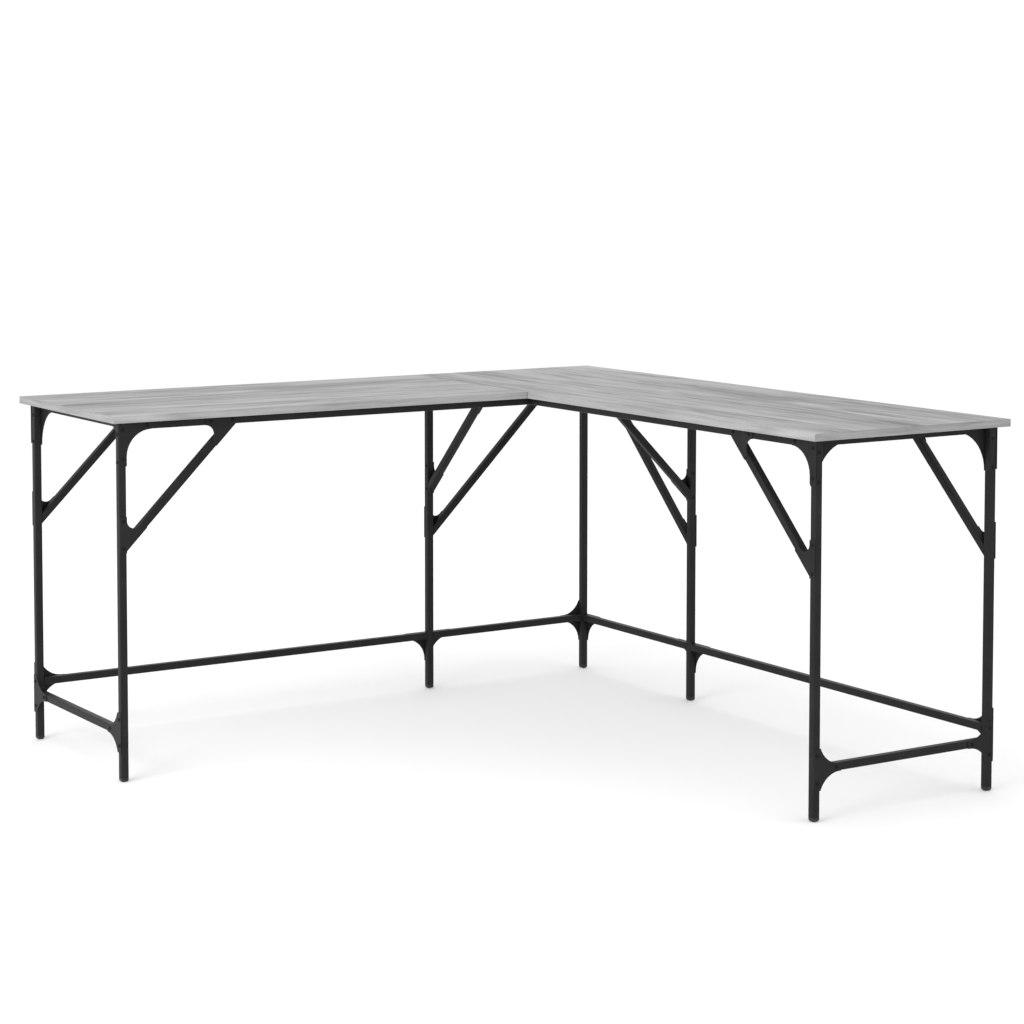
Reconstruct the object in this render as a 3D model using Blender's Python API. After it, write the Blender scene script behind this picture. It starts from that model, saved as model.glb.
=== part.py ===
"""L-shaped corner desk: two boards on a bolted frame of black square tube. Metres, +Z up, floor at Z = 0.

The left wing runs along X and the right wing along Y. They meet at the outer corner (+X, +Y), and the person
sits at the open inner corner (-X, -Y). Most pieces of the frame lie in an upright plane through two legs, so
they are drawn in that plane, as (run, height) from the centre line of one leg, and then turned to a heading.
"""

import math

import bmesh
import bpy
from mathutils import Matrix, Vector

# Boards
WING_LENGTH = 1.490
WING_DEPTH = 0.500
HEIGHT = 0.750
BOARD_THICKNESS = 0.015
OVERHANG = 0.0195

# Square tube
TUBE = 0.016
TUBE_RADIUS = 0.0020
TUBE_WALL = 0.0012
CORNER_STEPS = 2

# Pressed plates and the clearance between neighbours
PLATE = 0.0015
GAP = 0.0003

# Heights of the lower stretchers' centre lines
BACK_STRETCHER_Z = 0.127
END_STRETCHER_Z = 0.101

# A brace rises at 45 degrees. Its centre line meets the leg's centre line at one of these heights
BRACE_ANGLE = 45
HIGH_BRACE_Z = 0.4765
LOW_BRACE_Z = 0.3695
WELD_LAP = 0.0006

# Gusset plates at the two ends of a brace
STRIP_HALF = 0.037
STRIP_SCREW = 0.028
STRIP_ABOVE_BRACE = 0.0295
GUSSET_LENGTH = 0.0525
LOWER_FILLET = 0.016
UPPER_FILLET = 0.019
RAIL_TAB_END = 0.0055
RAIL_SCREW_INSET = 0.012

# Brackets
BRACKET_ARC = 0.050
END_BRACKET_RUN = 0.047
BRACKET_TAB = 0.004
BRACKET_SCREW = 0.027
TOP_ARC = 0.054
TOP_STRIP_Z = 0.649
TOP_STRIP_LIP = 0.001
TOP_SCREW_Z = 0.660
END_RAIL_HEIGHT = 0.014
END_ARC = 0.080
END_ARC_Z = 0.6465
END_STRIP_Z = 0.6455
END_FLANGE = 0.015
ARC_STEPS = 9
FILLET_STEPS = 4

# Screw holes through the plates
HOLE_RADIUS = 0.0022
HOLE_STEPS = 8

# Foot caps
FOOT_HEAD = 0.008
FOOT_SHANK = 0.020
FOOT_ROUND = 0.0048
FOOT_STEPS = 4

# Plates under the joint of the boards, and cleats in the corner of the rails
SEAM_PLATE = (0.058, 0.040, 0.002)
SEAM_PLATE_INSET = 0.140
CLEAT_ARM = 0.035
CLEAT_HEIGHT = 0.012

# Meshes: points closer than this are one, and edges sharper than this angle aren't smoothed over
MERGE_DISTANCE = 1e-6
SHARP_ANGLE = 46

# Places that follow from the sizes above
EDGE = WING_LENGTH / 2
INNER_EDGE = EDGE - WING_DEPTH
BOARD_Z = HEIGHT - BOARD_THICKNESS
FACE = TUBE / 2
OUT = EDGE - OVERHANG - FACE
IN = INNER_EDGE + OVERHANG + FACE
FRAME_TOP = BOARD_Z - GAP
RAIL_Z = FRAME_TOP - FACE
RAIL_BOTTOM = FRAME_TOP - TUBE
PLATE_OFFSET = FACE + GAP + PLATE / 2
DIAGONAL = math.cos(math.radians(BRACE_ANGLE))

POSTS = {
    "left_rear": (-OUT, OUT),
    "left_front": (-OUT, IN),
    "middle_left": (IN, OUT),
    "corner": (OUT, OUT),
    "middle_right": (OUT, IN),
    "right_rear": (OUT, -OUT),
    "right_front": (IN, -OUT),
    "inner_corner": (IN, IN),
}
LEGS = [name for name in POSTS if name != "inner_corner"]

# name, first post, second post
RAILS = (
    ("back_rail_left", "left_rear", "middle_left"),
    ("back_rail_corner_left", "middle_left", "corner"),
    ("back_rail_corner_right", "corner", "middle_right"),
    ("back_rail_right", "middle_right", "right_rear"),
    ("front_rail_left", "left_front", "inner_corner"),
    ("front_rail_right", "right_front", "middle_left"),
    ("cross_rail", "inner_corner", "middle_right"),
)
STRETCHERS = (
    ("back_stretcher_left", "left_rear", "middle_left", BACK_STRETCHER_Z),
    ("back_stretcher_corner_left", "middle_left", "corner", BACK_STRETCHER_Z),
    ("back_stretcher_corner_right", "corner", "middle_right", BACK_STRETCHER_Z),
    ("back_stretcher_right", "middle_right", "right_rear", BACK_STRETCHER_Z),
    ("end_stretcher_left", "left_front", "left_rear", END_STRETCHER_Z),
    ("end_stretcher_right", "right_front", "right_rear", END_STRETCHER_Z),
)

# name, leg, heading in degrees, side of the plane that the plates lie on, height of the brace
BRACES = (
    ("brace_left_front", "left_front", 0, -1, HIGH_BRACE_Z),
    ("brace_left_rear", "left_rear", 0, 1, HIGH_BRACE_Z),
    ("brace_right_front", "right_front", 90, 1, HIGH_BRACE_Z),
    ("brace_right_rear", "right_rear", 90, -1, HIGH_BRACE_Z),
    ("brace_cross_left", "middle_left", -90, 1, HIGH_BRACE_Z),
    ("brace_cross_right", "middle_right", 180, -1, HIGH_BRACE_Z),
    ("brace_corner_left", "middle_left", 0, 1, LOW_BRACE_Z),
    ("brace_corner_right", "middle_right", 90, -1, LOW_BRACE_Z),
)

# name, leg, heading, side, and on a back bracket whether it also rises over the stretcher
TOP_BRACKETS = (
    ("top_bracket_left_front", "left_front", 0, -1),
    ("top_bracket_left_rear", "left_rear", 0, 1),
    ("top_bracket_right_front", "right_front", 90, 1),
    ("top_bracket_right_rear", "right_rear", 90, -1),
)
END_BRACKETS = (
    ("end_bracket_left_front", "left_front", 90, 1),
    ("end_bracket_left_rear", "left_rear", -90, -1),
    ("end_bracket_right_front", "right_front", 0, -1),
    ("end_bracket_right_rear", "right_rear", 180, 1),
)
BACK_BRACKETS = (
    ("back_bracket_left_rear", "left_rear", 0, 1, True),
    ("back_bracket_corner_left", "corner", 180, -1, True),
    ("back_bracket_corner_right", "corner", -90, 1, False),
    ("back_bracket_right_rear", "right_rear", 90, -1, True),
)
TEE_BRACKETS = (
    ("tee_bracket_left", "middle_left", 0, 1),
    ("tee_bracket_right", "middle_right", 90, -1),
)
END_RAILS = (
    ("end_rail_left", "left_front", 90, -1),
    ("end_rail_right", "right_front", 0, 1),
)


def clear_scene():
    for obj in list(bpy.data.objects):
        bpy.data.objects.remove(obj, do_unlink=True)


def new_collection(name):
    collection = bpy.data.collections.new(name)
    bpy.context.scene.collection.children.link(collection)
    return collection


def new_material(name, colour, roughness, metallic):
    material = bpy.data.materials.new(name)
    material.use_nodes = True
    shader = material.node_tree.nodes["Principled BSDF"]
    shader.inputs["Base Color"].default_value = (*colour, 1)
    shader.inputs["Roughness"].default_value = roughness
    shader.inputs["Metallic"].default_value = metallic
    return material


def board_material(name):
    return new_material(name, (0.42, 0.41, 0.40), 0.55, 0.0)


def frame_material(name):
    return new_material(name, (0.02, 0.02, 0.022), 0.45, 0.3)


def foot_material(name):
    return new_material(name, (0.015, 0.015, 0.015), 0.6, 0.0)


def steel_material(name):
    return new_material(name, (0.45, 0.45, 0.46), 0.35, 1.0)


def add_node(name, mesh, material, location, heading=0):
    """One sub-part at its place in the desk, with its own copy of the mesh and its own material."""
    obj = bpy.data.objects.new(name, mesh.copy())
    obj.data.name = name
    obj.data.materials.append(material(name))
    obj.location = location
    obj.rotation_euler.z = math.radians(heading)
    obj.parent = origin
    desk.objects.link(obj)


def add_at_post(name, mesh, material, post, heading=0):
    x, y = POSTS[post]
    add_node(name, mesh, material, (x, y, 0), heading)


def mesh_from(name, bm):
    mesh = bpy.data.meshes.new(name)
    bm.to_mesh(mesh)
    bm.free()
    return mesh


def shade(mesh):
    mesh.shade_smooth()
    mesh.set_sharp_from_angle(angle=math.radians(SHARP_ANGLE))
    return mesh


def box_mesh(name, size):
    """A box centred on its origin."""
    bm = bmesh.new()
    bmesh.ops.create_cube(bm, size=1)
    bmesh.ops.scale(bm, vec=size, verts=bm.verts)
    return mesh_from(name, bm)


def arc(centre, radius, start, end, steps):
    """Points from angle start to angle end, in degrees."""
    points = []
    for step in range(steps + 1):
        angle = math.radians(start + (end - start) * step / steps)
        points.append((centre[0] + radius * math.cos(angle), centre[1] + radius * math.sin(angle)))
    return points


def rounded_square(width, radius):
    reach = width / 2 - radius
    points = []
    for quarter, (x, y) in enumerate(((reach, reach), (-reach, reach), (-reach, -reach), (reach, -reach))):
        points += arc((x, y), radius, 90 * quarter, 90 * quarter + 90, CORNER_STEPS)
    return points


def tube_mesh(name, start, end, start_cut=None, end_cut=None):
    """A hollow square tube open at both ends. The cuts are the normals of its end faces, or square."""
    axis = (end - start).normalized()
    across = Vector((0, 1, 0))
    up = axis.cross(across)
    outside = (TUBE, TUBE_RADIUS)
    inside = (TUBE - 2 * TUBE_WALL, TUBE_RADIUS - TUBE_WALL)
    first = (start, start_cut or axis)
    last = (end, end_cut or axis)
    bm = bmesh.new()
    rings = []
    for (base, cut), section in ((first, outside), (first, inside), (last, inside), (last, outside)):
        ring = []
        for a, b in rounded_square(*section):
            offset = across * a + up * b
            offset -= axis * (offset.dot(cut) / axis.dot(cut))
            ring.append(bm.verts.new(base + offset))
        rings.append(ring)
    for ring, following in zip(rings, rings[1:] + rings[:1]):
        for i, vertex in enumerate(ring):
            bm.faces.new((ring[i - 1], vertex, following[i], following[i - 1]))
    bmesh.ops.recalc_face_normals(bm, faces=bm.faces)
    return shade(mesh_from(name, bm))


def add_outline(curve, points):
    spline = curve.splines.new("POLY")
    spline.points.add(len(points) - 1)
    for point, (x, y) in zip(spline.points, points):
        point.co = (x, y, 0, 1)
    spline.use_cyclic_u = True


def flat_mesh(name, outline, thickness, holes=()):
    """A flat plate in the XY plane, centred on Z = 0, with a round hole at each point of holes."""
    curve = bpy.data.curves.new(name, "CURVE")
    curve.dimensions = "2D"
    curve.fill_mode = "BOTH"
    curve.extrude = thickness / 2
    add_outline(curve, outline)
    for centre in holes:
        add_outline(curve, arc(centre, HOLE_RADIUS, 0, 360 - 360 / HOLE_STEPS, HOLE_STEPS - 1))
    drawn = bpy.data.objects.new(name, curve)
    bpy.context.scene.collection.objects.link(drawn)
    graph = bpy.context.evaluated_depsgraph_get()
    mesh = bpy.data.meshes.new_from_object(drawn.evaluated_get(graph))
    bpy.data.objects.remove(drawn)
    bm = bmesh.new()
    bm.from_mesh(mesh)
    bmesh.ops.remove_doubles(bm, verts=bm.verts, dist=MERGE_DISTANCE)
    bmesh.ops.recalc_face_normals(bm, faces=bm.faces)
    bm.to_mesh(mesh)
    bm.free()
    return mesh


def plate_mesh(name, outline, side, holes=()):
    """A plate that stands against one side of the tubes, its outline drawn as (run, height)."""
    mesh = flat_mesh(name, outline, PLATE, holes)
    mesh.transform(Matrix.Rotation(math.radians(90), 4, "X"))
    mesh.transform(Matrix.Translation((0, side * PLATE_OFFSET, 0)))
    return shade(mesh)


def joined_mesh(name, meshes):
    """One closed body from meshes that lap over each other, as if welded."""
    pieces = []
    for mesh in meshes:
        piece = bpy.data.objects.new(name, mesh)
        cutters.objects.link(piece)
        pieces.append(piece)
    for piece in pieces[1:]:
        weld = pieces[0].modifiers.new("weld", "BOOLEAN")
        weld.operation = "UNION"
        weld.object = piece
    bpy.context.view_layer.update()
    graph = bpy.context.evaluated_depsgraph_get()
    mesh = bpy.data.meshes.new_from_object(pieces[0].evaluated_get(graph))
    for piece in pieces:
        bpy.data.objects.remove(piece)
    return shade(mesh)


def add_boards():
    """The right board runs the full length. The left board is butted against it."""
    right = box_mesh("board_right", (WING_DEPTH, WING_LENGTH, BOARD_THICKNESS))
    left_length = WING_LENGTH - WING_DEPTH - GAP
    left = box_mesh("board_left", (left_length, WING_DEPTH, BOARD_THICKNESS))
    middle = HEIGHT - BOARD_THICKNESS / 2
    across = EDGE - WING_DEPTH / 2
    add_node("board_right", right, board_material, (across, 0, middle))
    add_node("board_left", left, board_material, (-EDGE + left_length / 2, across, middle))


def add_legs():
    mesh = tube_mesh("leg", Vector((0, 0, FOOT_HEAD + GAP)), Vector((0, 0, FRAME_TOP)))
    for post in LEGS:
        add_at_post("leg_" + post, mesh, frame_material, post)


def bevel_edges(bm, edges, width, steps):
    round_profile = 0.5
    bmesh.ops.bevel(bm, geom=edges, offset=width, segments=steps, profile=round_profile, affect="EDGES")


def foot_mesh():
    """A plastic cap: a head as wide as the leg, rounded under, and a shank that plugs the tube."""
    bm = bmesh.new()
    bmesh.ops.create_cube(bm, size=1)
    bmesh.ops.scale(bm, vec=(TUBE, TUBE, FOOT_HEAD), verts=bm.verts)
    bmesh.ops.translate(bm, vec=(0, 0, FOOT_HEAD / 2), verts=bm.verts)
    upright = [edge for edge in bm.edges if abs(edge.verts[0].co.z - edge.verts[1].co.z) > GAP]
    bevel_edges(bm, upright, TUBE_RADIUS, CORNER_STEPS)
    under = [edge for edge in bm.edges if max(vertex.co.z for vertex in edge.verts) < GAP]
    bevel_edges(bm, under, FOOT_ROUND, FOOT_STEPS)
    top = max(bm.faces, key=lambda face: face.calc_center_median().z)
    bmesh.ops.inset_region(bm, faces=[top], thickness=TUBE_WALL + GAP)
    shank = bmesh.ops.extrude_face_region(bm, geom=[top])["geom"]
    bmesh.ops.delete(bm, geom=[top], context="FACES_ONLY")
    raised = [item for item in shank if isinstance(item, bmesh.types.BMVert)]
    bmesh.ops.translate(bm, vec=(0, 0, FOOT_SHANK), verts=raised)
    bmesh.ops.recalc_face_normals(bm, faces=bm.faces)
    return shade(mesh_from("foot", bm))


def add_feet():
    mesh = foot_mesh()
    for post in LEGS:
        add_at_post("foot_" + post, mesh, foot_material, post)


def add_run(name, first, second, height):
    """A level tube between two posts."""
    start = Vector(POSTS[first])
    along = Vector(POSTS[second]) - start
    ends = (Vector((FACE + GAP, 0, height)), Vector((along.length - FACE - GAP, 0, height)))
    heading = math.degrees(math.atan2(along.y, along.x))
    add_at_post(name, tube_mesh(name, *ends), frame_material, first, heading)


def add_rails():
    for name, first, second in RAILS:
        add_run(name, first, second, RAIL_Z)


def add_stretchers():
    for name, first, second, height in STRETCHERS:
        add_run(name, first, second, height)


def lower_gusset(rise, side):
    """The plate that bolts a brace to its leg: a strip on the leg, and an arm on the brace."""
    edge = FACE / DIAGONAL
    middle = rise + STRIP_ABOVE_BRACE
    outer_end = (GUSSET_LENGTH, GUSSET_LENGTH + rise - edge)
    inner_end = (outer_end[0] - edge, outer_end[1] + edge)
    # One fillet touches both the leg and the brace's upper edge.
    fillet_x = FACE + LOWER_FILLET
    fillet_z = fillet_x + rise + edge + LOWER_FILLET / DIAGONAL
    outline = [
        (-FACE, middle - STRIP_HALF),
        (FACE, middle - STRIP_HALF),
        (FACE, FACE + rise - edge),
        outer_end,
        inner_end,
        *arc((fillet_x, fillet_z), LOWER_FILLET, -45, -180, 2 * FILLET_STEPS),
        (FACE, middle + STRIP_HALF),
        (-FACE, middle + STRIP_HALF),
    ]
    holes = [(0, middle - STRIP_SCREW), (0, middle + STRIP_SCREW)]
    return plate_mesh("lower_gusset", outline, side, holes)


def upper_gusset(rise, side):
    """The plate that bolts a brace to the rail, with a concave fillet on the inner side."""
    edge = FACE / DIAGONAL
    outer_corner = RAIL_BOTTOM - rise + edge
    inner_corner = RAIL_BOTTOM - rise - edge
    reach = UPPER_FILLET / math.tan(math.radians(BRACE_ANGLE / 2))
    fillet = arc((inner_corner - reach, RAIL_BOTTOM - UPPER_FILLET), UPPER_FILLET, 90, -45, 2 * FILLET_STEPS)
    first = inner_corner - reach
    last = outer_corner + RAIL_TAB_END
    end = fillet[-1]
    outline = [
        (first, FRAME_TOP),
        *fillet,
        (end[0] + edge, end[1] - edge),
        (outer_corner, RAIL_BOTTOM),
        (last, RAIL_BOTTOM + RAIL_TAB_END),
        (last, FRAME_TOP),
    ]
    holes = [(first + RAIL_SCREW_INSET, RAIL_Z), (last - RAIL_SCREW_INSET, RAIL_Z)]
    return plate_mesh("upper_gusset", outline, side, holes)


def brace_mesh(rise, side):
    """A tube mitred to the leg and to the rail, with its two gussets welded on. It stands out by WELD_LAP."""
    start = Vector((FACE + GAP, side * WELD_LAP, FACE + GAP + rise))
    top = RAIL_BOTTOM - GAP
    end = Vector((top - rise, side * WELD_LAP, top))
    tube = tube_mesh("brace_tube", start, end, Vector((1, 0, 0)), Vector((0, 0, 1)))
    return joined_mesh("brace", [tube, lower_gusset(rise, side), upper_gusset(rise, side)])


def add_braces():
    made = {}
    for name, post, heading, side, rise in BRACES:
        if (rise, side) not in made:
            made[rise, side] = brace_mesh(rise, side)
        add_at_post(name, made[rise, side], frame_material, post, heading)


def concave_arm(height, run, reach):
    """The two edges of a bracket's arm, lower outwards and upper inwards, each an arc that meets the leg."""
    angle = math.degrees(math.acos(-run / BRACKET_ARC))
    below = arc((FACE + run, height - FACE - BRACKET_ARC), BRACKET_ARC, angle, 90, ARC_STEPS)
    above = arc((FACE + run, height + FACE + BRACKET_ARC), BRACKET_ARC, 270, 360 - angle, ARC_STEPS)
    return [*below, (FACE + reach, height - FACE)], [(FACE + reach, height + FACE), *above]


def lower_bracket(name, height, run_below, side, over=True):
    """The plate that ties a leg to a stretcher, concave under the stretcher and, if over is set, above it."""
    reach = run_below + BRACKET_TAB
    below = concave_arm(height, run_below, reach)[0]
    above = concave_arm(height, END_BRACKET_RUN, reach)[1]
    top_screw = height + BRACKET_SCREW
    if not over:
        above = above[:1]
        top_screw = height
    outline = [(-FACE, below[0][1]), *below, *above, (-FACE, above[-1][1])]
    holes = [(0, height - BRACKET_SCREW), (0, top_screw), (run_below, height)]
    return plate_mesh(name, outline, side, holes)


def add_end_brackets():
    for name, post, heading, side in END_BRACKETS:
        mesh = lower_bracket(name, END_STRETCHER_Z, END_BRACKET_RUN, side)
        add_at_post(name, mesh, frame_material, post, heading)


def add_back_brackets():
    for name, post, heading, side, over in BACK_BRACKETS:
        mesh = lower_bracket(name, BACK_STRETCHER_Z, BRACKET_ARC, side, over)
        add_at_post(name, mesh, frame_material, post, heading)


def tee_bracket(side):
    """The plate behind a middle leg, with an arm under the stretcher on each side and nothing over it."""
    below, above = concave_arm(BACK_STRETCHER_Z, BRACKET_ARC, BRACKET_ARC + BRACKET_TAB)
    right = [*below, above[0]]
    left = [(-x, z) for x, z in reversed(right)]
    bottom = below[0][1] - BRACKET_TAB
    outline = [(-FACE, bottom), (FACE, bottom), *right, *left]
    holes = [(0, bottom + 2 * BRACKET_TAB), (0, BACK_STRETCHER_Z)]
    holes += [(-BRACKET_ARC, BACK_STRETCHER_Z), (BRACKET_ARC, BACK_STRETCHER_Z)]
    return plate_mesh("tee_bracket", outline, side, holes)


def add_tee_brackets():
    for name, post, heading, side in TEE_BRACKETS:
        add_at_post(name, tee_bracket(side), frame_material, post, heading)


def top_bracket(side):
    """The plate on the corner of a leg and a top rail, with a quarter circle between them."""
    lip = FACE + TOP_STRIP_LIP
    curve = arc((lip + TOP_ARC, RAIL_BOTTOM - TOP_ARC), TOP_ARC, 180, 90, ARC_STEPS)
    outline = [(-lip, TOP_STRIP_Z), (lip, TOP_STRIP_Z), *curve, (lip + TOP_ARC, FRAME_TOP), (-lip, FRAME_TOP)]
    holes = [(0, TOP_SCREW_Z), (0, RAIL_BOTTOM), (TOP_ARC, RAIL_Z)]
    return plate_mesh("top_bracket", outline, side, holes)


def add_top_brackets():
    for name, post, heading, side in TOP_BRACKETS:
        add_at_post(name, top_bracket(side), frame_material, post, heading)


def end_rail(side):
    """An angle between two end legs, on their inner faces, with a curved corner down each leg."""
    span = OUT - IN
    notch = RAIL_BOTTOM - GAP
    rise = FRAME_TOP - END_RAIL_HEIGHT - END_ARC_Z
    last_angle = 180 - math.degrees(math.asin(rise / END_ARC))
    half = [
        (FACE + GAP, FRAME_TOP),
        (FACE + GAP, notch),
        (GAP - FACE, notch),
        (GAP - FACE, END_STRIP_Z),
        (FACE, END_STRIP_Z),
        *arc((FACE + END_ARC, END_ARC_Z), END_ARC, 180, last_angle, ARC_STEPS),
    ]
    outline = half + [(span - x, z) for x, z in reversed(half)]
    screws = (END_STRIP_Z + 2 * BRACKET_TAB, notch - 2 * BRACKET_TAB)
    web = plate_mesh("end_rail_web", outline, side, [(x, z) for x in (0, span) for z in screws])
    flange = box_mesh("end_rail_flange", (span - TUBE - 4 * GAP, END_FLANGE, PLATE))
    inward = FACE + GAP + (END_FLANGE + PLATE) / 2
    flange.transform(Matrix.Translation((span / 2, side * inward, FRAME_TOP - PLATE / 2 - GAP)))
    return joined_mesh("end_rail", [web, flange])


def add_end_rails():
    for name, post, heading, side in END_RAILS:
        add_at_post(name, end_rail(side), frame_material, post, heading)


def add_seam_plates():
    """Flat plates screwed up into both boards, between the rails."""
    length, width, thickness = SEAM_PLATE
    mesh = box_mesh("seam_plate", SEAM_PLATE)
    x = IN - FACE - GAP - length / 2
    z = BOARD_Z - GAP - thickness / 2
    for name, y in (("seam_plate_front", IN + SEAM_PLATE_INSET), ("seam_plate_rear", OUT - SEAM_PLATE_INSET)):
        add_node(name, mesh, steel_material, (x, y, z))


def add_cleats():
    """Angles that tie the rails where they cross, behind the front rail."""
    arm = CLEAT_ARM
    outline = [(0, 0), (arm, 0), (arm, PLATE), (PLATE, PLATE), (PLATE, arm), (0, arm)]
    mesh = flat_mesh("cleat", outline, CLEAT_HEIGHT)
    offset = FACE + GAP
    add_node("corner_cleat_right", mesh, steel_material, (IN + offset, IN + offset, RAIL_Z))
    add_node("corner_cleat_left", mesh, steel_material, (IN - offset, IN + offset, RAIL_Z), 90)


clear_scene()
desk = new_collection("corner_desk")
cutters = new_collection("cutters")
origin = bpy.data.objects.new("desk_origin", None)
desk.objects.link(origin)
add_boards()
add_legs()
add_feet()
add_rails()
add_stretchers()
add_end_rails()
add_braces()
add_top_brackets()
add_end_brackets()
add_back_brackets()
add_tee_brackets()
add_seam_plates()
add_cleats()
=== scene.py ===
"""The finished look of the corner desk: grey oak boards, black powder-coated steel, foot caps and screws.

Metres, +Z up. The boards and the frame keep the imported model's shapes, and the screws are made here.
"""

import math

import bmesh
import bpy
from mathutils import Matrix, Vector


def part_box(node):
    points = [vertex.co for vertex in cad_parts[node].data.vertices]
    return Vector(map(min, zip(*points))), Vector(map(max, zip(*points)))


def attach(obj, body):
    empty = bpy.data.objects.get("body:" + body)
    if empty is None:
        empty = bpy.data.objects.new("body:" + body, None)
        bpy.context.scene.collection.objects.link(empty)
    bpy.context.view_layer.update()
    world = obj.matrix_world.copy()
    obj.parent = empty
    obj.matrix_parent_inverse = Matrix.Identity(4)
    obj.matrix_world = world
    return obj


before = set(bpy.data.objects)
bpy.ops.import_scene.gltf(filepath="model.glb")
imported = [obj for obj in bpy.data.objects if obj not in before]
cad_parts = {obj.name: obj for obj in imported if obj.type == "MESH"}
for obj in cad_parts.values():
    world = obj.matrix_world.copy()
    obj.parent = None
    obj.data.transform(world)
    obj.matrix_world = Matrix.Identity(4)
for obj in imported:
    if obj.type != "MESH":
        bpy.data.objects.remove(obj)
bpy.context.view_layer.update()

# Sizes that the frame was built with
PLATE = 0.0015
GAP = 0.0003

# A button-head screw
HEAD_RADIUS = 0.0038
HEAD_HEIGHT = 0.0022
HEAD_RIM = 0.0004
SOCKET_APOTHEM = 0.00125
SOCKET_DEPTH = 0.0013
SOCKET_MOUTH = 0.0019
SOCKET_LIP = 0.0001
SOCKET_TAPER = 0.97
HEAD_SIDES = 24
DOME_STEPS = 4
HEAD_SHARP_ANGLE = 40

# How far a screw's seat is let in, on a plate and in a rail, and how its socket is turned, in radians
SINK = 0.00005
COUNTERSINK = 0.0018
FIRST_TURN = 0.3
TURN_STEP = 0.7

# Where the screws sit on the plates
STRIP_SCREW_INSET = 0.009
STRIP_SCREW_SPACING = 0.056
TAB_SCREW_INSET = 0.012
TAB_SCREW_SPACING = 0.050
BRACKET_SCREW = 0.027
END_BRACKET_RUN = 0.047
BACK_BRACKET_RUN = 0.050
TOP_BRACKET_RUN = 0.054
LOW_SCREW_INSET = 0.008
TOP_SCREW_INSET = 0.011
CLEAT_SCREW = 0.024

# Screws up into the boards, as shares of a rail's length
LONG_RAIL = 0.6
LONG_RAIL_SHARES = (0.12, 0.50, 0.88)
SHORT_RAIL_SHARES = (0.15, 0.85)

# Grey oak decor: (tone, reflectance), from the darkest streak to the palest
WOOD_STOPS = ((0.05, 0.118), (0.40, 0.235), (0.58, 0.293), (0.88, 0.385))

# The scales of its noises, along the grain and across it
SWAY_SCALE = (1.3, 7)
BANDS_SCALE = (0.9, 9)
FIGURE_SCALE = (2.6, 34)
STREAKS_SCALE = (5.0, 160)
PORES_SCALE = (38, 1100)
SMUDGES_SCALE = (4.6, 38)

# How far the grain sways, and how much each noise adds to the tone
SWAY = 0.015
FIRST_TONE = -1.425
BANDS_SHARE = 1.00
FIGURE_SHARE = 1.55
STREAKS_SHARE = 1.10
PORES_SHARE = 0.22
SMUDGES_SHARE = -0.28
FLECKS_SHARE = -0.12

# The darkest streaks, and the edge band, have a part of the faces' contrast, about a tone of their own
DARK_CONTRAST = 0.5
DARK_TONE = 0.10
BAND_CONTRAST = 0.55
BAND_TONE = 0.27

# The seam between a board's face and its edge band
BAND_WIDTH = 0.0008
BAND_SEAM = 0.0003
SEAM_SHADE = 0.35

# Finish of the frame's nodes: points closer than this are one, and angles in degrees
MERGE_DISTANCE = 1e-5
FLAT_ANGLE = 2
BEVEL_ANGLE = 50
BEVEL_STEPS = 2
AREA_WEIGHT = 100

# How far edges are rounded. The end rails have a step of one GAP, so theirs is under half of it.
BOARD_BEVEL = 0.0006
PLATE_BEVEL = 0.00035
TUBE_BEVEL = 0.0002
END_RAIL_BEVEL = 0.00014

# Camera
CAMERA_PLACE = (-2.8018, -4.4331, 1.2807)
CAMERA_PITCH = 0.0655
CAMERA_YAW = 0.5627
CAMERA_LENS = 89.16
CAMERA_SHIFT = (0.0206, -0.19)
SENSOR_WIDTH = 36
CLIP_END = 100

# Studio. A light has a name, a place, a size and a power
LIGHT_TARGET = (0.1, 0.1, 0.4)
LIGHTS = (
    ("key_light", (-4.2, -1.0, 1.9), 2.8, 112),
    ("fill_light", (1.2, -4.4, 1.7), 2.8, 14),
    ("back_light", (1.5, 3.4, 3.2), 2.4, 10),
)
SKY_STRENGTH = 1.1
FLOOR_SIZE = 60
FLOOR_DROP = 0.0004


def centre(node):
    low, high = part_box(node)
    return (low + high) / 2


LEG_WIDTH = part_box("leg_corner")[1].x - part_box("leg_corner")[0].x
FACE = LEG_WIDTH / 2
RAIL_Z = centre("back_rail_left").z
RAIL_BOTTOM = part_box("back_rail_left")[0].z
BACK_Z = centre("back_stretcher_left").z
END_Z = centre("end_stretcher_left").z


# ---- material nodes ----


def new_material(name):
    material = bpy.data.materials.new(name)
    material.use_nodes = True
    return material


def shader_of(material):
    return material.node_tree.nodes["Principled BSDF"]


def add_shader_node(material, kind, inputs=(), **settings):
    """A node with its settings. inputs is a list of (socket, value or socket to link from)."""
    node = material.node_tree.nodes.new(kind)
    for name, value in settings.items():
        setattr(node, name, value)
    for socket, value in inputs:
        connect(material, value, node.inputs[socket])
    return node


def connect(material, value, socket):
    if isinstance(value, bpy.types.NodeSocket):
        material.node_tree.links.new(value, socket)
    else:
        socket.default_value = value


def calculate(material, operation, first, second=0.0, third=0.0):
    inputs = [(0, first), (1, second), (2, third)]
    return add_shader_node(material, "ShaderNodeMath", inputs, operation=operation).outputs[0]


def spread(material, value, low, high):
    """Turns 0 to 1 into low to high."""
    return calculate(material, "MULTIPLY_ADD", value, high - low, low)


def vector_math(material, operation, *vectors):
    inputs = enumerate(vectors)
    return add_shader_node(material, "ShaderNodeVectorMath", inputs, operation=operation).outputs[0]


def combine(material, *parts):
    return add_shader_node(material, "ShaderNodeCombineXYZ", enumerate(parts)).outputs[0]


def separate(material, vector):
    return add_shader_node(material, "ShaderNodeSeparateXYZ", [(0, vector)]).outputs


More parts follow.
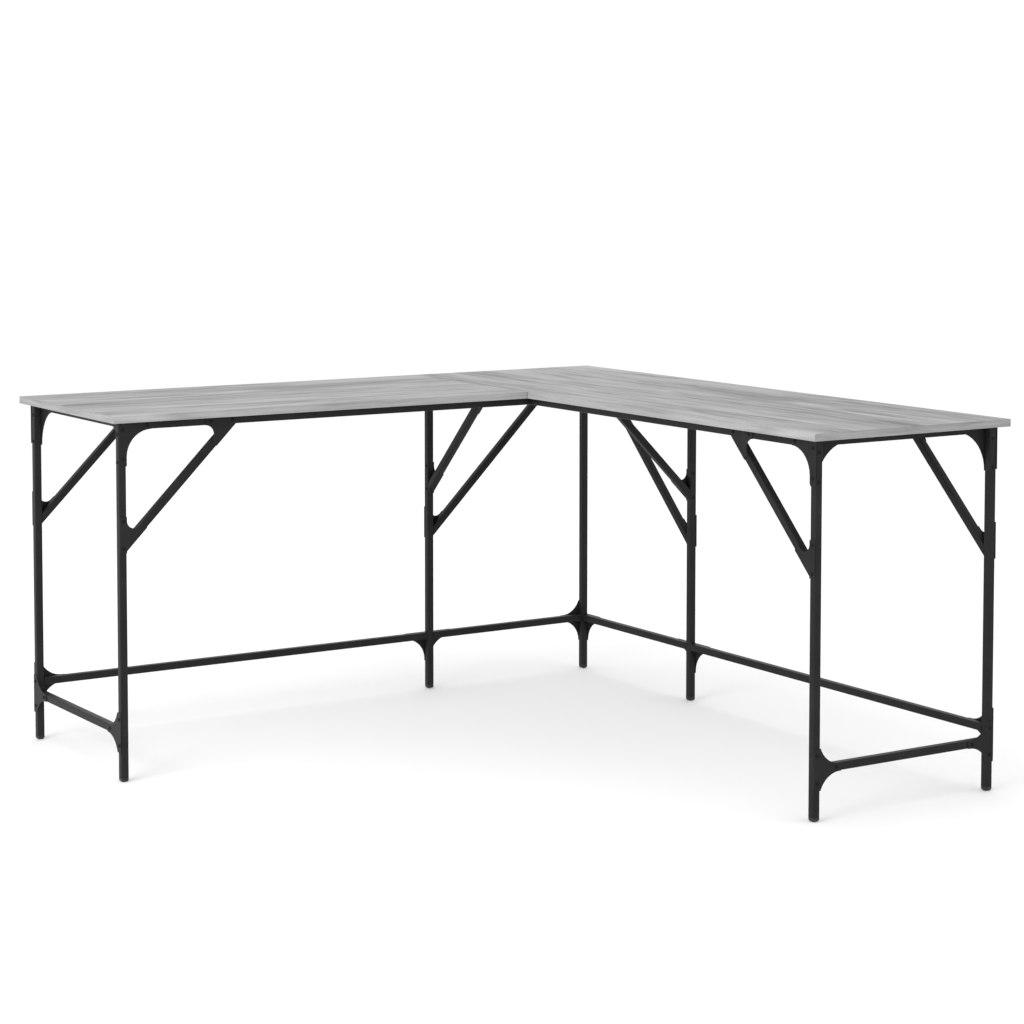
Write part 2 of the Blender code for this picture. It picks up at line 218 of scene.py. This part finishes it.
def noise(material, vector, scale, detail=2.0, roughness=0.5, distortion=0.0):
    inputs = [("Vector", vector), ("Scale", scale), ("Detail", detail)]
    inputs += [("Roughness", roughness), ("Distortion", distortion)]
    return add_shader_node(material, "ShaderNodeTexNoise", inputs).outputs[0]


def stretched_noise(material, place, scale, *settings):
    """Noise with one scale along the first axis and another across it."""
    along, across = scale
    return noise(material, vector_math(material, "MULTIPLY", place, (along, across, across)), 1.0, *settings)


def ramp(material, value, stops):
    """A grey ramp through (position, grey) stops."""
    node = add_shader_node(material, "ShaderNodeValToRGB", [(0, value)])
    elements = node.color_ramp.elements
    while len(elements) < len(stops):
        elements.new(0.5)
    for element, (position, grey) in zip(elements, stops):
        element.position = position
        element.color = (grey, grey, grey, 1)
    return node.outputs[0]


def object_place(material):
    return add_shader_node(material, "ShaderNodeTexCoord").outputs["Object"]


def add_bump(material, height, strength, distance):
    inputs = [("Height", height), ("Strength", strength), ("Distance", distance)]
    bump = add_shader_node(material, "ShaderNodeBump", inputs)
    connect(material, bump.outputs[0], shader_of(material).inputs["Normal"])


# ---- wood ----


def faces_along(material, axis):
    """1 on the faces that look along an axis, 0 elsewhere."""
    normal = add_shader_node(material, "ShaderNodeNewGeometry").outputs["True Normal"]
    facing = separate(material, normal)[axis]
    return calculate(material, "GREATER_THAN", calculate(material, "ABSOLUTE", facing), 0.5)


def grain_place(material, along_x):
    """(along the grain, across it, up). On a board's end, the edge band's grain runs along the edge."""
    place = separate(material, object_place(material))
    long, cross = (0, 1) if along_x else (1, 0)
    on_end = faces_along(material, long)
    plain = combine(material, place[long], place[cross], place[2])
    turned = combine(material, place[cross], place[long], place[2])
    difference = vector_math(material, "SUBTRACT", turned, plain)
    return vector_math(material, "MULTIPLY_ADD", difference, on_end, plain)


def band_seam(material, low, high):
    """1 on the fine seam between a board's face and its edge band, 0 elsewhere."""
    place = separate(material, object_place(material))
    nearest = None
    for axis in (0, 1):
        for distance in (
            calculate(material, "SUBTRACT", place[axis], low[axis]),
            calculate(material, "SUBTRACT", high[axis], place[axis]),
        ):
            nearest = distance if nearest is None else calculate(material, "MINIMUM", nearest, distance)
    inside = calculate(material, "GREATER_THAN", nearest, BAND_WIDTH)
    outside = calculate(material, "LESS_THAN", nearest, BAND_WIDTH + BAND_SEAM)
    return calculate(material, "MULTIPLY", inside, outside)


def wood_tone(material, bands, figure, streaks, pores, smudges):
    """Adds the noises up, and calms the darkest streaks and the edge band."""
    dark = ramp(material, smudges, [(0.55, 0.0), (0.70, 1.0)])
    flecks = ramp(material, pores, [(0.58, 0.0), (0.70, 1.0)])
    tone = FIRST_TONE
    for pattern, share in (
        (bands, BANDS_SHARE),
        (figure, FIGURE_SHARE),
        (streaks, STREAKS_SHARE),
        (pores, PORES_SHARE),
        (dark, SMUDGES_SHARE),
        (flecks, FLECKS_SHARE),
    ):
        tone = calculate(material, "MULTIPLY_ADD", pattern, share, tone)
    calm = calculate(material, "MULTIPLY_ADD", tone, DARK_CONTRAST, DARK_TONE)
    tone = calculate(material, "MAXIMUM", tone, calm)
    band = calculate(material, "MULTIPLY_ADD", tone, BAND_CONTRAST, BAND_TONE)
    difference = calculate(material, "SUBTRACT", tone, band)
    return calculate(material, "MULTIPLY_ADD", difference, faces_along(material, 2), band)


def grey_oak(name, node, along_x):
    """Printed oak decor with streaks along the board, and its fine embossed pores."""
    material = new_material(name)
    shader = shader_of(material)
    grain = grain_place(material, along_x)
    sway = spread(material, stretched_noise(material, grain, SWAY_SCALE), -SWAY, SWAY)
    grain = vector_math(material, "ADD", grain, combine(material, 0.0, sway, 0.0))

    bands = stretched_noise(material, grain, BANDS_SCALE, 3.0, 0.55)
    figure = stretched_noise(material, grain, FIGURE_SCALE, 4.0, 0.6, 0.6)
    streaks = stretched_noise(material, grain, STREAKS_SCALE, 5.0, 0.62)
    pores = stretched_noise(material, grain, PORES_SCALE)
    smudges = stretched_noise(material, grain, SMUDGES_SCALE, 2.0, 0.5, 0.6)
    colour = ramp(material, wood_tone(material, bands, figure, streaks, pores, smudges), WOOD_STOPS)

    seam = calculate(material, "MULTIPLY", band_seam(material, *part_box(node)), SEAM_SHADE)
    colour = vector_math(material, "MULTIPLY", colour, calculate(material, "SUBTRACT", 1.0, seam))
    connect(material, colour, shader.inputs["Base Color"])
    connect(material, spread(material, streaks, 0.62, 0.46), shader.inputs["Roughness"])
    shader.inputs["Specular IOR Level"].default_value = 0.25
    relief = calculate(material, "MULTIPLY_ADD", pores, 0.6, streaks)
    add_bump(material, relief, 0.30, 0.0002)
    return material


# ---- metal and plastic ----


def powder_coat(name):
    """Satin black powder coat: an orange-peel surface, a little paler where its film is thin."""
    material = new_material(name)
    shader = shader_of(material)
    place = object_place(material)
    peel = noise(material, place, 700.0, 2.0, 0.55)
    film = noise(material, place, 14.0, 3.0, 0.6)
    colour = ramp(material, film, [(0.30, 0.0130), (0.70, 0.0190)])
    connect(material, colour, shader.inputs["Base Color"])
    connect(material, spread(material, film, 0.34, 0.48), shader.inputs["Roughness"])
    shader.inputs["Specular IOR Level"].default_value = 0.08
    add_bump(material, peel, 0.25, 0.00025)
    return material


def foot_plastic(name):
    """Moulded polyethylene with a spark-eroded grain."""
    material = new_material(name)
    shader = shader_of(material)
    place = object_place(material)
    grain = noise(material, place, 1800.0, 3.0, 0.6)
    cloud = noise(material, place, 60.0, 2.0)
    connect(material, ramp(material, cloud, [(0.3, 0.011), (0.7, 0.017)]), shader.inputs["Base Color"])
    connect(material, spread(material, grain, 0.48, 0.63), shader.inputs["Roughness"])
    shader.inputs["Specular IOR Level"].default_value = 0.4
    add_bump(material, grain, 0.30, 0.0001)
    return material


def zinc_plate(name):
    """Bright zinc on pressed steel, with the rolling lines of the strip."""
    material = new_material(name)
    shader = shader_of(material)
    place = object_place(material)
    lines = noise(material, vector_math(material, "MULTIPLY", place, (60, 1500, 60)), 1.0, 3.0, 0.6)
    bloom = noise(material, place, 90.0, 3.0, 0.55)
    tone = calculate(material, "MULTIPLY_ADD", lines, 0.4, calculate(material, "MULTIPLY", bloom, 0.6))
    connect(material, ramp(material, tone, [(0.3, 0.36), (0.7, 0.56)]), shader.inputs["Base Color"])
    connect(material, spread(material, bloom, 0.25, 0.50), shader.inputs["Roughness"])
    shader.inputs["Metallic"].default_value = 1.0
    add_bump(material, lines, 0.15, 0.00005)
    return material


def black_oxide(name):
    """The screws' oiled black oxide, with fine turning marks."""
    material = new_material(name)
    shader = shader_of(material)
    place = object_place(material)
    marks = noise(material, place, 2600.0, 2.0)
    stain = noise(material, place, 220.0, 2.0)
    connect(material, ramp(material, stain, [(0.3, 0.006), (0.7, 0.010)]), shader.inputs["Base Color"])
    connect(material, spread(material, stain, 0.22, 0.44), shader.inputs["Roughness"])
    shader.inputs["Specular IOR Level"].default_value = 0.10
    add_bump(material, marks, 0.12, 0.00005)
    return material


# ---- the frame's nodes ----


def smoothing_group():
    """Welds a node's triangles, drops their flat normals and sets all its faces to smooth shading."""
    group = bpy.data.node_groups.new("smooth_surface", "GeometryNodeTree")
    group.interface.new_socket("Geometry", in_out="INPUT", socket_type="NodeSocketGeometry")
    group.interface.new_socket("Geometry", in_out="OUTPUT", socket_type="NodeSocketGeometry")
    nodes = group.nodes
    start = nodes.new("NodeGroupInput")
    weld = nodes.new("GeometryNodeMergeByDistance")
    weld.inputs["Distance"].default_value = MERGE_DISTANCE
    strip = nodes.new("GeometryNodeRemoveAttribute")
    strip.inputs["Name"].default_value = "custom_normal"
    faces = nodes.new("GeometryNodeSetShadeSmooth")
    end = nodes.new("NodeGroupOutput")
    chain = [start, weld, strip, faces, end]
    for first, second in zip(chain, chain[1:]):
        group.links.new(first.outputs[0], second.inputs[0])
    return group


def finish_node(node, material, bevel_width):
    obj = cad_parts[node]
    for slot in obj.material_slots:
        slot.material = material
    smooth = obj.modifiers.new("smooth", "NODES")
    smooth.node_group = smoothing
    flat = obj.modifiers.new("flat", "DECIMATE")
    flat.decimate_type = "DISSOLVE"
    flat.angle_limit = math.radians(FLAT_ANGLE)
    bevel = obj.modifiers.new("bevel", "BEVEL")
    bevel.width = bevel_width
    bevel.segments = BEVEL_STEPS
    bevel.limit_method = "ANGLE"
    bevel.angle_limit = math.radians(BEVEL_ANGLE)
    bevel.harden_normals = True
    normals = obj.modifiers.new("normals", "WEIGHTED_NORMAL")
    normals.keep_sharp = False
    normals.weight = AREA_WEIGHT


def finish_frame():
    coat = powder_coat("powder_coat")
    plastic = foot_plastic("foot_plastic")
    zinc = zinc_plate("zinc_plate")
    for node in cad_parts:
        if node.startswith("board"):
            finish_node(node, grey_oak(node + "_oak", node, node == "board_left"), BOARD_BEVEL)
        elif node.startswith("foot"):
            finish_node(node, plastic, TUBE_BEVEL)
        elif node.startswith(("seam", "corner_cleat")):
            finish_node(node, zinc, TUBE_BEVEL)
        elif node.startswith("end_rail"):
            finish_node(node, coat, END_RAIL_BEVEL)
        elif node.startswith(("brace", "top_bracket", "end_bracket", "back_bracket", "tee_bracket")):
            finish_node(node, coat, PLATE_BEVEL)
        else:
            finish_node(node, coat, TUBE_BEVEL)


# ---- screws ----


def circle_ring(radius, height):
    step = math.tau / HEAD_SIDES
    return [(radius * math.cos(i * step), radius * math.sin(i * step), height) for i in range(HEAD_SIDES)]


def hexagon_ring(apothem, height):
    """Points on a hexagon, at the same angles as circle_ring's."""
    ring = []
    for i in range(HEAD_SIDES):
        angle = i * math.tau / HEAD_SIDES
        radius = apothem / math.cos(angle % (math.pi / 3) - math.pi / 6)
        ring.append((radius * math.cos(angle), radius * math.sin(angle), height))
    return ring


def screw_mesh():
    """A domed button head with a hexagon socket. Its seat is at Z = 0 and it faces +Z."""
    rings = [circle_ring(HEAD_RADIUS, 0)]
    for step in range(DOME_STEPS + 1):
        angle = math.radians(90) * step / DOME_STEPS
        radius = SOCKET_MOUTH + (HEAD_RADIUS - SOCKET_MOUTH) * math.cos(angle)
        rings.append(circle_ring(radius, HEAD_RIM + (HEAD_HEIGHT - HEAD_RIM) * math.sin(angle)))
    rings.append(hexagon_ring(SOCKET_APOTHEM, HEAD_HEIGHT - SOCKET_LIP))
    rings.append(hexagon_ring(SOCKET_APOTHEM * SOCKET_TAPER, HEAD_HEIGHT - SOCKET_DEPTH))
    bm = bmesh.new()
    loops = [[bm.verts.new(point) for point in ring] for ring in rings]
    for loop, following in zip(loops, loops[1:]):
        for i, vertex in enumerate(loop):
            bm.faces.new((loop[i - 1], vertex, following[i], following[i - 1]))
    bm.faces.new(loops[-1])
    bm.faces.new(reversed(loops[0]))
    bmesh.ops.recalc_face_normals(bm, faces=bm.faces)
    mesh = bpy.data.meshes.new("screw")
    bm.to_mesh(mesh)
    bm.free()
    return mesh


def add_screws(name, seats, material, sink=SINK):
    """One piece with a screw at each (place, direction it faces). sink is how deep its seat is let in."""
    bm = bmesh.new()
    for count, (place, facing) in enumerate(seats):
        turn = Vector((0, 0, 1)).rotation_difference(facing).to_matrix().to_4x4()
        spin = Matrix.Rotation(FIRST_TURN + TURN_STEP * count, 4, "Z")
        screw = screw_template.copy()
        screw.transform(Matrix.Translation(place - facing * sink) @ turn @ spin)
        bm.from_mesh(screw)
        bpy.data.meshes.remove(screw)
    mesh = bpy.data.meshes.new(name)
    bm.to_mesh(mesh)
    bm.free()
    mesh.shade_smooth()
    mesh.set_sharp_from_angle(angle=math.radians(HEAD_SHARP_ANGLE))
    mesh.materials.append(material)
    obj = bpy.data.objects.new(name, mesh)
    bpy.context.scene.collection.objects.link(obj)
    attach(obj, "root")


def plate_seats(leg, heading, side, places, behind=False):
    """Seats on a plate that stands against a leg, or on the leg's other side if behind is set.

    places are (run, height), where run is from the leg's centre line.
    """
    along = Matrix.Rotation(math.radians(heading), 3, "Z") @ Vector((1, 0, 0))
    facing = Matrix.Rotation(math.radians(heading), 3, "Z") @ Vector((0, side, 0))
    out = FACE + GAP + PLATE
    if behind:
        facing = -facing
        out = FACE
    middle = centre("leg_" + leg)
    seats = []
    for run, height in places:
        place = middle + along * run + facing * out
        place.z = height
        seats.append((place, facing))
    return seats


def reach_from(leg, node, heading):
    """How far a node reaches from a leg's centre line along a heading."""
    along = Matrix.Rotation(math.radians(heading), 3, "Z") @ Vector((1, 0, 0))
    return max((corner - centre("leg_" + leg)).dot(along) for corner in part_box(node))


def brace_places(node, leg, heading):
    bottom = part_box(node)[0].z
    low = bottom + STRIP_SCREW_INSET
    far = reach_from(leg, node, heading) - TAB_SCREW_INSET
    return [(0, low), (0, low + STRIP_SCREW_SPACING), (far, RAIL_Z), (far - TAB_SCREW_SPACING, RAIL_Z)]


def add_brace_screws(material):
    # node, leg, heading in degrees, side of the leg with the plates, whether the heads are on the other side
    braces = (
        ("brace_left_front", "left_front", 0, -1, False),
        ("brace_left_rear", "left_rear", 0, 1, False),
        ("brace_right_front", "right_front", 90, 1, False),
        ("brace_right_rear", "right_rear", 90, -1, False),
        ("brace_cross_left", "middle_left", -90, 1, True),
        ("brace_cross_right", "middle_right", 180, -1, True),
        ("brace_corner_left", "middle_left", 0, 1, False),
        ("brace_corner_right", "middle_right", 90, -1, False),
    )
    for node, leg, heading, side, behind in braces:
        places = brace_places(node, leg, heading)
        add_screws("screws_" + node, plate_seats(leg, heading, side, places, behind), material)


def add_bracket_screws(material):
    low = [(0, END_Z - BRACKET_SCREW), (0, END_Z + BRACKET_SCREW), (END_BRACKET_RUN, END_Z)]
    back = [(0, BACK_Z - BRACKET_SCREW), (0, BACK_Z + BRACKET_SCREW), (BACK_BRACKET_RUN, BACK_Z)]
    half = [(0, BACK_Z - BRACKET_SCREW), (0, BACK_Z), (BACK_BRACKET_RUN, BACK_Z)]
    top_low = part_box("top_bracket_left_front")[0].z + TOP_SCREW_INSET
    top = [(0, top_low), (0, RAIL_BOTTOM), (TOP_BRACKET_RUN, RAIL_Z)]
    tee_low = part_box("tee_bracket_left")[0].z + LOW_SCREW_INSET
    tee = [(0, tee_low), (0, BACK_Z), (-BACK_BRACKET_RUN, BACK_Z), (BACK_BRACKET_RUN, BACK_Z)]
    # node, leg, heading in degrees, side of the leg with the plate, places of the screws
    brackets = (
        ("end_bracket_left_front", "left_front", 90, 1, low),
        ("end_bracket_left_rear", "left_rear", -90, -1, low),
        ("end_bracket_right_front", "right_front", 0, -1, low),
        ("end_bracket_right_rear", "right_rear", 180, 1, low),
        ("back_bracket_left_rear", "left_rear", 0, 1, back),
        ("back_bracket_corner_left", "corner", 180, -1, back),
        ("back_bracket_corner_right", "corner", -90, 1, half),
        ("back_bracket_right_rear", "right_rear", 90, -1, back),
        ("top_bracket_left_front", "left_front", 0, -1, top),
        ("top_bracket_left_rear", "left_rear", 0, 1, top),
        ("top_bracket_right_front", "right_front", 90, 1, top),
        ("top_bracket_right_rear", "right_rear", 90, -1, top),
        ("tee_bracket_left", "middle_left", 0, 1, tee),
        ("tee_bracket_right", "middle_right", 90, -1, tee),
    )
    for node, leg, heading, side, places in brackets:
        add_screws("screws_" + node, plate_seats(leg, heading, side, places), material)


def add_end_rail_screws(material):
    """The end rails' strips are bolted through the legs, with the heads on the legs' outer faces."""
    for node, leg, heading, side in (
        ("end_rail_left", "left_front", 90, -1),
        ("end_rail_right", "right_front", 0, 1),
    ):
        span = reach_from(leg, node, heading) - FACE
        heights = (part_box(node)[0].z + LOW_SCREW_INSET, RAIL_BOTTOM - GAP - LOW_SCREW_INSET)
        places = [(run, height) for run in (0, span) for height in heights]
        add_screws("screws_" + node, plate_seats(leg, heading, side, places, behind=True), material)


def add_board_screws(material):
    """Screws up through the rails into the boards, clear of the braces."""
    down = Vector((0, 0, -1))
    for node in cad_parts:
        if not node.startswith(("back_rail", "front_rail", "cross_rail")):
            continue
        low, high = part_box(node)
        length = max(high.x - low.x, high.y - low.y)
        shares = LONG_RAIL_SHARES if length > LONG_RAIL else SHORT_RAIL_SHARES
        along = Vector((high.x - low.x, high.y - low.y, 0)) - Vector((LEG_WIDTH, LEG_WIDTH, 0))
        start = Vector((low.x + FACE, low.y + FACE, low.z))
        seats = [(start + along * share, down) for share in shares]
        add_screws("board_screws_" + node, seats, material, COUNTERSINK)


def add_hardware_screws(material):
    """Four screws up through each seam plate, and one through each arm of the cleats."""
    down = Vector((0, 0, -1))
    for node in ("seam_plate_front", "seam_plate_rear"):
        low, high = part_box(node)
        inset = Vector((TAB_SCREW_INSET, STRIP_SCREW_INSET, 0))
        xs = (low.x + inset.x, high.x - inset.x)
        ys = (low.y + inset.y, high.y - inset.y)
        add_screws("screws_" + node, [(Vector((x, y, low.z)), down) for x in xs for y in ys], material)
    for node, side in (("corner_cleat_right", 1), ("corner_cleat_left", -1)):
        low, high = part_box(node)
        corner = low.x if side > 0 else high.x
        first = Vector((corner + side * CLEAT_SCREW, low.y + PLATE, RAIL_Z))
        second = Vector((corner + side * PLATE, low.y + CLEAT_SCREW, RAIL_Z))
        seats = [(first, Vector((0, 1, 0))), (second, Vector((side, 0, 0)))]
        add_screws("screws_" + node, seats, material)


# ---- studio ----


def add_floor():
    material = new_material("floor_paint")
    shader = shader_of(material)
    tone = noise(material, object_place(material), 0.6, 2.0)
    connect(material, ramp(material, tone, [(0.3, 0.905), (0.7, 0.915)]), shader.inputs["Base Color"])
    shader.inputs["Roughness"].default_value = 0.9
    shader.inputs["Specular IOR Level"].default_value = 0.1
    bpy.ops.mesh.primitive_plane_add(size=FLOOR_SIZE, location=(0, 0, -FLOOR_DROP))
    floor = bpy.context.object
    floor.name = "studio_floor"
    floor.data.materials.append(material)


def add_world():
    world = bpy.data.worlds.new("studio")
    world.use_nodes = True
    background = world.node_tree.nodes["Background"]
    background.inputs["Color"].default_value = (1, 1, 1, 1)
    background.inputs["Strength"].default_value = SKY_STRENGTH
    bpy.context.scene.world = world


def add_lights():
    for name, place, size, power in LIGHTS:
        light = bpy.data.lights.new(name, "AREA")
        light.shape = "SQUARE"
        light.size = size
        light.energy = power
        obj = bpy.data.objects.new(name, light)
        obj.location = place
        obj.rotation_euler = (Vector(LIGHT_TARGET) - Vector(place)).to_track_quat("-Z", "Y").to_euler()
        bpy.context.scene.collection.objects.link(obj)


def add_camera():
    camera = bpy.data.cameras.new("camera")
    camera.lens = CAMERA_LENS
    camera.sensor_width = SENSOR_WIDTH
    camera.shift_x, camera.shift_y = CAMERA_SHIFT
    camera.clip_end = CLIP_END
    obj = bpy.data.objects.new("camera", camera)
    obj.location = CAMERA_PLACE
    obj.rotation_euler = (math.pi / 2 - CAMERA_PITCH, 0, -CAMERA_YAW)
    bpy.context.scene.collection.objects.link(obj)
    bpy.context.scene.camera = obj


smoothing = smoothing_group()
screw_template = screw_mesh()
finish_frame()
screw_black = black_oxide("black_oxide")
add_brace_screws(screw_black)
add_bracket_screws(screw_black)
add_end_rail_screws(screw_black)
add_board_screws(screw_black)
add_hardware_screws(screw_black)
add_floor()
add_world()
add_lights()
add_camera()
bpy.context.scene.view_settings.view_transform = "Standard"
